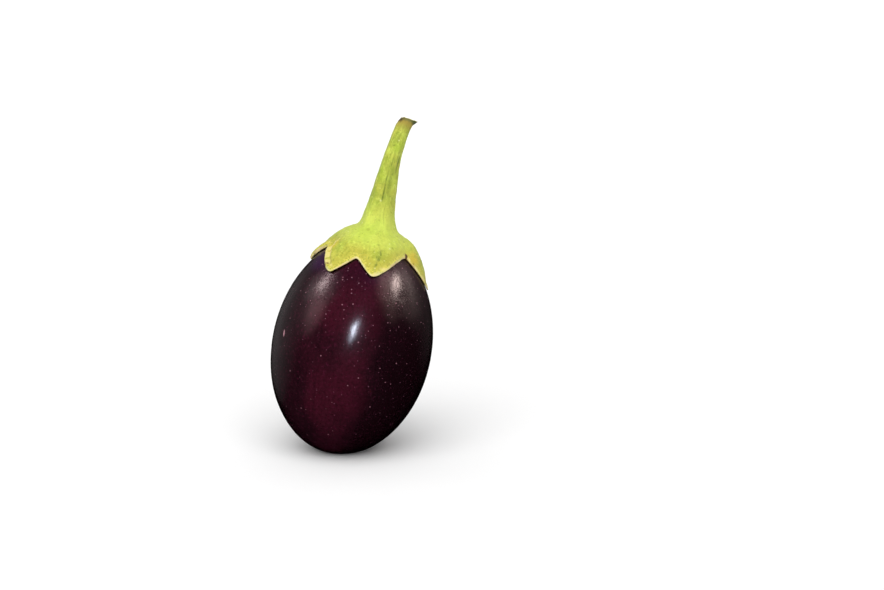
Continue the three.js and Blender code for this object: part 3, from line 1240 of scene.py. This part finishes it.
@dataclass(frozen=True)
class WaxySkin:
    """The cuticle of a ripe eggplant: thin wax over purple-black cells.

    It gives the eye a deep colour with almost no lightness of its own, painted redder where the front
    light falls and darker on its far sides, a clear small highlight and, where the wax is dull, a
    broad and broken one.
    """

    name: str = "waxy_eggplant_skin"
    deep: str = "#200710"
    marks: tuple[str, ...] = ("below_calyx", "sunny", "dark", "worn_wax", "violet", "from_scar")
    clouds: tuple[Layer, ...] = (
        Layer("#110207", "blotch", 0.44, 0.64, 0.5),
        # Painted light: red where the front light falls on the fruit; then long faint streaks and a
        # fine mottling.
        Layer("#340817", "sunny", 0.0, 1.0, 1.0),
        Layer("#110207", "streak", 0.52, 0.74, 0.25),
        Layer("#350919", "streak", 0.46, 0.28, 0.16),
        Layer("#470f26", "fleck", 0.52, 0.68, 0.28),
        Layer("#100206", "fleck", 0.48, 0.34, 0.35),
        # Painted shade: black on the sides turned away from the light.
        Layer("#110207", "dark", 0.0, 1.0, 0.88),
        # Just under the calyx the skin had less sun, and is magenta there, in places violet.
        Layer("#3c0d28", "below_calyx", 10.0, 0.5, 0.2),
        Layer("#33163a", "violet", 0.0, 1.0, 0.8),
        # A few flecks are magenta all over the fruit.
        Layer("#4a1430", "fleck", 0.6, 0.74, 0.25),
        # In the crack under the calyx it is painted a dark red-brown: painted shade, with a little
        # dust.
        Layer("#150504", "below_calyx", 0.95, 0.25, 0.9),
        # Pores, and under the calyx the bloom of worn wax with painted glints among it: pale specks
        # in a loose grid's cells.
        Layer("#86546a", "faint_pore", 0.0, 1.0, 0.45),
        Layer("#9c6a78", "pore", 0.0, 1.0, 0.62),
        Layer("#a67486", "bloom", 0.0, 1.0, 0.5),
        # One short dry scratch.
        Layer("#c08c98", "from_scratch", 1.2, 0.6, 0.75),
    )
    cork: str = "#6d523a"
    cork_layers: tuple[Layer, ...] = (Layer("#2b1a12", "crumb", 0.6, 0.35, 1.0),)
    patterns: tuple[Pattern, ...] = (
        Pattern("blotch", 13.0, 3.0, 0.5),
        Pattern("streak", 1.7, 4.0, 0.5, drawn_out=True),
        Pattern("fleck", 0.9, 3.0, 0.6),
        Pattern("crumb", 0.7, 5.0, 0.5),
        Pattern("grit", 0.26, 2.0, 0.7),
        Pattern("wear", 0.7, 4.0, 0.65),
    )
    specks: tuple[Specks, ...] = (
        Specks("pore", 1.7, 0.3, 0.15),
        Specks("faint_pore", 1.1, 0.27, 0.17),
        Specks("bloom", 1.15, 0.5, 0.19),
        Specks("dimple", 1.2, 0.6, 0.26),
    )
    # The bloom and its painted glints show from so many mm below the calyx, and in full at the second
    # distance.
    bloom_and_glints_range: tuple[float, float] = (27.0, 14.0)
    scratch_size: tuple[float, float, float] = (0.3, 0.5, 1.7)
    scratch_place: tuple[float, float, float] = (-17.5, -13.2, 42.3)
    scar_range: tuple[float, float] = (3.3, 2.7)
    scar_raggedness: float = 1.6
    cork_roughness: float = 0.5
    roughness: tuple[float, float] = (0.26, 0.42)
    dull_range: tuple[float, float] = (0.35, 0.65)
    specular: float = 0.06
    wax: float = 0.95
    wax_roughness: float = 0.15
    bare_range: tuple[float, float] = (0.46, 0.6)
    bare_share: float = 0.42
    sound_share: float = 0.1

    def material(self) -> bpy.types.Material:
        """Builds the material.

        Returns:
            the new material.
        """
        material, tree = blank_material(self.name)
        node = partial(add_node, tree)
        guides = guided(tree, self.marks, self.patterns, self.specks)
        under_calyx = node("ShaderNodeMapRange", ramp(guides["below_calyx"], *self.bloom_and_glints_range))
        bloom = {0: guides["bloom"], 1: under_calyx}
        guides["bloom"] = node("ShaderNodeMath", bloom, operation="MULTIPLY").outputs[0]
        spot = {
            "Vector": guides["place"],
            "Location": [value * MM for value in self.scratch_place],
            "Scale": [value * MM for value in self.scratch_size],
        }
        scratch = node("ShaderNodeMapping", spot, vector_type="TEXTURE")
        length = node("ShaderNodeVectorMath", {0: scratch}, operation="LENGTH")
        guides["from_scratch"] = length.outputs["Value"]
        colour = layered(tree, self.deep, self.clouds, guides)

        # The corky scar of the flower, cracked and brown, at the blossom end.
        cork = layered(tree, self.cork, self.cork_layers, guides)
        ragged = {0: guides["crumb"], 1: self.scar_raggedness, 2: guides["from_scar"]}
        ragged = node("ShaderNodeMath", ragged, operation="MULTIPLY_ADD")
        corky = node("ShaderNodeMapRange", ramp(ragged, *self.scar_range))
        colour = node("ShaderNodeMix", {0: corky, 6: colour, 7: cork}, data_type="RGBA").outputs[2]

        # The wax is worn near the calyx, which breaks the broad highlights there into glints.
        dull = ramp(guides["wear"], *self.dull_range, *self.roughness)
        rough = {0: corky, 1: self.cork_roughness, 2: node("ShaderNodeMapRange", dull)}
        rough = node("ShaderNodeMath", rough, operation="MULTIPLY_ADD")
        worn = node("ShaderNodeMapRange", ramp(guides["worn_wax"], 0.0, 1.0, self.sound_share))
        bare = ramp(guides["wear"], *self.bare_range, 0.0, self.bare_share)
        bare = {0: node("ShaderNodeMapRange", bare), 1: worn}
        bare = node("ShaderNodeMath", bare, operation="MULTIPLY")
        wax = {0: bare, 1: -self.wax, 2: self.wax}
        wax = node("ShaderNodeMath", wax, operation="MULTIPLY_ADD")
        gritty, dimpled = (
            node("ShaderNodeMath", {0: guides[name], 1: worn}, operation="MULTIPLY")
            for name in ("grit", "dimple")
        )
        reliefs = (
            (gritty, 1.0, 0.03),
            (guides["bloom"], 1.0, 0.035),
            (guides["streak"], 0.3, 0.05),
            (guides["pore"], 0.7, 0.04),
            (dimpled, 1.0, -0.035),
        )
        normal = embossed(tree, reliefs)
        surface = node(
            "ShaderNodeBsdfPrincipled",
            {
                "Base Color": colour,
                "Roughness": rough,
                "Specular IOR Level": self.specular,
                "IOR": 1.45,
                "Coat Weight": wax,
                "Coat Roughness": self.wax_roughness,
                "Coat IOR": 1.4,
                "Normal": normal,
                "Coat Normal": normal,
            },
        )
        node("ShaderNodeOutputMaterial", {"Surface": surface})
        return material


@dataclass(frozen=True)
class DownyLeaf:
    """The calyx and stem: thick leaf tissue under a short down, cut across at the top.

    It gives the eye a soft yellow-green that lets a little light through, streaked along the stem
    and mottled on the sepals, with dry cream edges and a brown, dried cut.
    """

    name: str = "downy_calyx_leaf"
    green: str = "#a5b03c"
    marks: tuple[str, ...] = (
        "along", "margin", "under", "crease", "dry", "rust", "gold", "bleached", "below_cut", "cut",
    )
    leaf: tuple[Layer, ...] = (
        # Greens in soft clouds, drawn out into streaks on the stem.
        Layer("#8b9c30", "mottle", 0.5, 0.68, 0.8),
        Layer("#c8d65a", "mottle", 0.46, 0.3, 0.6),
        Layer("#c8d65a", "streak", 0.52, 0.68, 0.7),
        Layer("#8b9c30", "streak", 0.47, 0.33, 0.8),
        Layer("#9db52e", "hue", 0.5, 0.62, 0.55),
        Layer("#b9b445", "hue", 0.5, 0.38, 0.4),
        # Yellower and darker within some 6 mm of the edges: the sepals' own yellowing and, in part,
        # painted shade on their lower, down-sloping parts.
        Layer("#b8a83c", "margin", 6.0, 0.8, 0.6),
        Layer("#8e882c", "weathered", -2.4, -4.0, 0.75),
        Layer("#dcd45e", "brightened", 5.6, 4.2, 0.7),
        Layer("#c2ac35", "golden", 0.35, 1.1, 0.85),
        Layer("#d2de60", "fine", 0.54, 0.7, 0.5),
        Layer("#7f8e2a", "fine", 0.46, 0.3, 0.85),
        # Painted light: the top of the calyx round the stem's foot is painted brighter.
        Layer("#cbdb5c", "crown", 0.0, 1.0, 0.5),
        Layer("#929b34", "freckle", 0.0, 1.0, 0.45),
        Layer("#74832c", "speck", 0.0, 1.0, 0.55),
        Layer("#e0e6a4", "flake", 0.0, 1.0, 0.45),
        # The creases' darker green: partly the stem's own streaks, partly painted shade in the
        # grooves and on the stem's shaded side.
        Layer("#566a1c", "broken_crease_and_shade", 0.75, 1.5, 0.9),
    )
    dry_leaf: tuple[Layer, ...] = (
        # The dry edge: a thin cream line, peach in places, with rusty spots; the darkest, in the
        # notch at around 62 degrees, is painted shade in the cleft there.
        Layer("#dcd49a", "ragged", 1.42, 1.95, 0.85),
        Layer("#cba678", "peach", 2.95, 3.5, 0.7),
        Layer("#dccf82", "bleaching", 0.85, 1.4, 0.8),
        Layer("#6b431c", "rusty_and_cleft_shade", 0.75, 1.2, 0.85),
        Layer("#2e1c08", "rusty_and_cleft_shade", 1.45, 2.0, 0.9),
        # The underside: brown at the edge, partly dried and partly painted shade under the lip, pale
        # inside.
        Layer("#6b431c", "under", 0.35, 0.7, 0.85),
        Layer("#c9cf92", "under", 0.85, 1.0, 0.8),
        # The top of the stem has dried to a tan band below the cut.
        Layer("#988f38", "drying", 6.8, 4.2, 0.65),
        Layer("#9c8636", "drying", 5.2, 2.8, 0.85),
    )
    cut_brown: str = "#3f3314"
    cut_face: tuple[Layer, ...] = (
        Layer("#6f6d36", "across", 0.0195, 0.022, 1.0),
        Layer("#434f24", "across", 0.0225, 0.0245, 1.0),
        Layer("#a99f5c", "cut", 0.7, 1.0, 0.8),
    )
    patterns: tuple[Pattern, ...] = (
        Pattern("mottle", 4.0, 4.0, 0.5),
        Pattern("hue", 6.5, 2.0, 0.5),
        Pattern("patch", 3.0, 3.0, 0.5),
        Pattern("fine", 0.8, 3.0, 0.65),
        Pattern("streak", 0.7, 4.0, 0.6, drawn_out=True),
    )
    specks: tuple[Specks, ...] = (
        Specks("speck", 1.1, 0.1, 0.3),
        Specks("freckle", 1.9, 0.4, 0.34),
        Specks("flake", 1.5, 0.24, 0.24),
    )
    # What the mesh marks softly, the patterns make ragged: the new guide, its pattern, how far the
    # pattern raises it, and the mark.
    ragged_marks: tuple[tuple[str, str, float, str], ...] = (
        ("weathered", "fine", -8.0, "margin"),
        ("brightened", "fine", 8.0, "margin"),
        ("golden", "fine", 0.5, "gold"),
        ("broken_crease_and_shade", "fine", 1.2, "crease"),
        ("half_ragged", "fine", 0.5, "dry"),
        ("ragged", "patch", 1.2, "half_ragged"),
        ("peach", "hue", 2.5, "ragged"),
        ("bleaching", "fine", 0.9, "bleached"),
        ("rusty_and_cleft_shade", "fine", 0.9, "rust"),
        ("drying", "mottle", 3.0, "below_cut"),
    )
    # Painted light: the stem's foot is painted brighter, from so many mm below it up to so many above
    # it.
    painted_light_crown_start: tuple[float, float] = (-8.0, -2.5)
    painted_light_crown_end: tuple[float, float] = (12.0, 2.0)
    cut_range: tuple[float, float] = (0.12, 0.4)
    roughness: float = 0.62
    specular: float = 0.25
    light_through: float = 0.12
    light_reach: float = 0.9
    down: float = 0.12
    down_roughness: float = 0.4

    def material(self) -> bpy.types.Material:
        """Builds the material.

        Returns:
            the new material.
        """
        material, tree = blank_material(self.name)
        node = partial(add_node, tree)
        guides = guided(tree, self.marks, self.patterns, self.specks)
        for name, pattern, amount, mark in self.ragged_marks:
            parts = {0: guides[pattern], 1: amount, 2: guides[mark]}
            guides[name] = node("ShaderNodeMath", parts, operation="MULTIPLY_ADD").outputs[0]
        # Painted light round the stem's foot.
        crown = {
            0: node("ShaderNodeMapRange", ramp(guides["along"], *self.painted_light_crown_start)),
            1: node("ShaderNodeMapRange", ramp(guides["along"], *self.painted_light_crown_end)),
        }
        guides["crown"] = node("ShaderNodeMath", crown, operation="MULTIPLY").outputs[0]
        guides["across"] = node("ShaderNodeSeparateXYZ", {"Vector": guides["place"]}).outputs["X"]

        colour = layered(tree, self.green, self.leaf + self.dry_leaf, guides)
        face = layered(tree, self.cut_brown, self.cut_face, guides)
        shown = node("ShaderNodeMapRange", ramp(guides["cut"], *self.cut_range))
        colour = node("ShaderNodeMix", {0: shown, 6: colour, 7: face}, data_type="RGBA").outputs[2]
        normal = embossed(tree, ((guides["fine"], 0.7, 0.12), (guides["streak"], 0.7, 0.16)))
        surface = node(
            "ShaderNodeBsdfPrincipled",
            {
                "Base Color": colour,
                "Roughness": self.roughness,
                "Specular IOR Level": self.specular,
                "Subsurface Weight": self.light_through,
                "Subsurface Radius": (0.9, 1.0, 0.35),
                "Subsurface Scale": self.light_reach * MM,
                "Sheen Weight": self.down,
                "Sheen Roughness": self.down_roughness,
                "Normal": normal,
            },
        )
        node("ShaderNodeOutputMaterial", {"Surface": surface})
        return material


@dataclass(frozen=True)
class Paper:
    """Matt white background paper: it gives the eye an even pale ground with no gloss."""

    name: str = "matt_paper"
    colour: str = "#f7f7f7"
    roughness: float = 0.9
    specular: float = 0.1

    def material(self) -> bpy.types.Material:
        """Builds the material.

        Returns:
            the new material.
        """
        material, tree = blank_material(self.name)
        look = {
            "Base Color": linear(self.colour),
            "Roughness": self.roughness,
            "Specular IOR Level": self.specular,
        }
        surface = add_node(tree, "ShaderNodeBsdfPrincipled", look)
        add_node(tree, "ShaderNodeOutputMaterial", {"Surface": surface})
        return material


@dataclass(frozen=True)
class Softbox:
    """A lamp with an even face, turned to the fruit.

    Attributes:
        name: the lamp's name.
        towards: the direction from the fruit to the lamp.
        distance: its distance from the fruit, in metres.
        width: its width in metres.
        height: its height in metres.
        glow: the radiance of its face.
        colour: its colour.
        roll: how far it is turned about its own axis, in degrees.
        fade: the share of its size over which its rim fades out.
        steps: the number of nested faces that a fading rim has.
        gap: how far one of them is behind the other, in metres.
    """

    name: str
    towards: tuple[float, float, float]
    distance: float
    width: float
    height: float
    glow: float
    colour: str = "#ffffff"
    roll: float = 0.0
    fade: float = 0.0
    steps: int = 5
    gap: float = 0.002

    def build(self, target: Vector) -> None:
        """Hangs the lamp, as nested faces that share its glow where its rim fades.

        Args:
            target: what it lights.
        """
        towards = Vector(self.towards).normalized()
        roll = Quaternion((0.0, 0.0, 1.0), math.radians(self.roll))
        turn = towards.to_track_quat("Z", "Y") @ roll
        sizes = np.linspace(1.0 - self.fade, 1.0 + self.fade, self.steps) if self.fade else (1.0,)
        for step, size in enumerate(sizes):
            lamp = bpy.data.lights.new(self.name, "AREA")
            lamp.shape = "ELLIPSE"
            lamp.size = self.width * size
            lamp.size_y = self.height * size
            lamp.color = linear(self.colour)[:3]
            area = 0.25 * math.pi * lamp.size * lamp.size_y
            lamp.energy = self.glow / len(sizes) * math.pi * area
            made = linked(f"{self.name}_{step}", lamp)
            made.location = target + towards * (self.distance + self.gap * step)
            made.rotation_euler = turn.to_euler()
            made.visible_camera = False
            made.visible_diffuse = False


@dataclass
class Studio:
    """The floor, the lamps, the even light from all around and the camera."""

    fruit: Fruit
    floor_size: float = 40.0
    sky: float = 0.87
    lamps: tuple[Softbox, ...] = (
        Softbox("front_lamp", (0.014, -0.97, 0.244), 0.9, 0.07, 0.15, 52.0, "#e6efff", -34.0),
        Softbox("front_strip", (0.01, -0.974, 0.222), 0.9, 0.12, 0.33, 17.0, "#dde9ff", -34.0),
        Softbox("left_lamp", (-0.695, -0.1, 0.71), 0.7, 0.09, 0.08, 38.0, "#ffe8e8", 0.0, 0.4),
        Softbox("left_streak", (-0.755, -0.07, 0.65), 0.7, 0.17, 0.13, 7.0, "#ffdcde", 0.0, 0.4),
        Softbox("left_window", (-0.81, -0.31, 0.5), 0.7, 0.3, 0.36, 2.2, "#ffc0c8", 0.0, 0.5),
        Softbox("left_glow", (-0.8, -0.16, 0.55), 0.7, 0.46, 0.56, 0.36, "#fff0f0", 0.0, 0.3),
        Softbox("left_near", (-0.694, -0.266, 0.669), 0.7, 0.24, 0.24, 1.5, "#ffd8dc", 0.0, 0.6),
        Softbox("left_far", (-0.794, 0.154, 0.588), 0.7, 0.2, 0.2, 1.4, "#fff0f0", 0.0, 0.6),
        Softbox("left_wall", (-0.82, 0.5, 0.12), 1.2, 1.6, 1.2, 0.21, "#fffafa", 0.0, 0.4),
        Softbox("right_lamp", (0.825, -0.125, 0.55), 0.7, 0.18, 0.09, 50.0, "#ffe6de", 0.0, 0.35),
        Softbox("right_window", (0.81, -0.12, 0.6), 0.7, 0.46, 0.4, 0.9, "#ffe0da", 0.0, 0.6),
        Softbox("right_glow", (0.88, 0.1, 0.44), 0.7, 0.6, 0.5, 0.56, "#ffdcd4", 0.0, 0.3),
        Softbox("right_haze", (0.88, 0.24, 0.4), 0.7, 0.8, 0.6, 0.27, "#ffe8e2", 0.0, 0.25),
        Softbox("right_front", (0.7, -0.44, 0.56), 0.7, 0.3, 0.46, 1.6, "#ffd0c8", 0.0, 0.5),
        Softbox("right_near", (0.62, -0.36, 0.7), 0.7, 0.26, 0.22, 3.0, "#ffd8d2", 0.0, 0.6),
        Softbox("right_far", (0.88, 0.23, 0.42), 0.7, 0.24, 0.22, 2.7, "#ffe4de", 0.0, 0.6),
        Softbox("right_wall", (0.8, 0.6, 0.1), 1.2, 1.2, 0.9, 0.08, "#fff0ee", 0.0, 0.5),
    )
    sun: float = 2.3
    sun_spread: float = 70.0
    sun_towards: tuple[float, float, float] = (-0.06, -0.66, 0.74)

    def build(self) -> None:
        """Builds the studio round the fruit."""
        target = Vector(self.fruit.stood(np.zeros(3)) * MM)
        form = bmesh.new()
        bmesh.ops.create_grid(form, x_segments=8, y_segments=8, size=0.5 * self.floor_size)
        mesh = bpy.data.meshes.new("floor")
        form.to_mesh(mesh)
        form.free()
        mesh.materials.append(Paper().material())
        floor = linked("floor", mesh)
        floor.visible_glossy = False
        for lamp in self.lamps:
            lamp.build(target)
        self.key()

        world = bpy.data.worlds.new("even_light")
        world.use_nodes = True
        world.node_tree.nodes.clear()
        light = add_node(world.node_tree, "ShaderNodeBackground", {"Strength": self.sky})
        add_node(world.node_tree, "ShaderNodeOutputWorld", {"Surface": light.outputs[0]})
        world.cycles_visibility.glossy = False
        scene = bpy.context.scene
        scene.world = world
        scene.view_settings.view_transform = "Standard"
        scene.camera = self.camera(target)

    def key(self) -> None:
        """Adds a broad even light from the front and above that gives no highlight of its own."""
        light = bpy.data.lights.new("broad_key", "SUN")
        light.energy = self.sun
        light.angle = math.radians(self.sun_spread)
        made = linked("broad_key", light)
        made.rotation_euler = Vector(self.sun_towards).to_track_quat("Z", "Y").to_euler()
        made.visible_glossy = False

    def camera(self, target: Vector) -> bpy.types.Object:
        """Sets up the camera so that the fruit's middle falls where it does in the photograph.

        Args:
            target: the fruit's middle.

        Returns:
            the camera.
        """
        data = bpy.data.cameras.new("camera")
        data.lens = LENS
        data.sensor_width = SENSOR
        data.clip_start = 0.01
        data.clip_end = 50.0
        made = linked("camera", data)
        pitch = math.radians(CAMERA_PITCH)
        made.rotation_euler = (0.5 * math.pi - pitch, 0.0, 0.0)
        forward = Vector((0.0, math.cos(pitch), -math.sin(pitch)))
        upward = Vector((0.0, math.sin(pitch), math.cos(pitch)))
        focal = LENS / SENSOR * PHOTO_WIDTH
        across = (FRUIT_PIXEL[0] - 0.5 * PHOTO_WIDTH) / focal
        raised = (0.5 * PHOTO_HEIGHT - FRUIT_PIXEL[1]) / focal
        line = forward + across * Vector((1.0, 0.0, 0.0)) + raised * upward
        made.location = target - CAMERA_DISTANCE * MM * line
        return made


def hand_over(piece: bpy.types.Object, node: str, finish: bpy.types.Material) -> None:
    """Dresses a piece and lets it stand for its node of the frame.

    Args:
        piece: the piece.
        node: the node that it stands for.
        finish: its material.
    """
    piece.data.materials.append(finish)
    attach(piece, BODY)
    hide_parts(node)
    low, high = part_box(node)
    corners = np.array([vertex.co[:] for vertex in piece.data.vertices])
    beyond = max(*(np.array(low) - corners.min(0)), *(corners.max(0) - np.array(high)))
    faces = len(piece.data.polygons)
    LOG.info("%s: %d faces, %.2f mm beyond its node", piece.name, faces, beyond / MM)


def main() -> None:
    """Builds the fruit, then the calyx and stem, then the studio."""
    logging.basicConfig(level=logging.INFO, format="%(name)s: %(message)s")
    fruit = Fruit(Crown())
    hand_over(fruit.build(), "fruit", WaxySkin().material())
    hand_over(CalyxAndStem(fruit).build(), "calyx_and_stem", DownyLeaf().material())
    studio = Studio(fruit)
    studio.build()
    LOG.info("studio: %d lamps", len(studio.lamps))


if __name__ == "__main__":
    main()
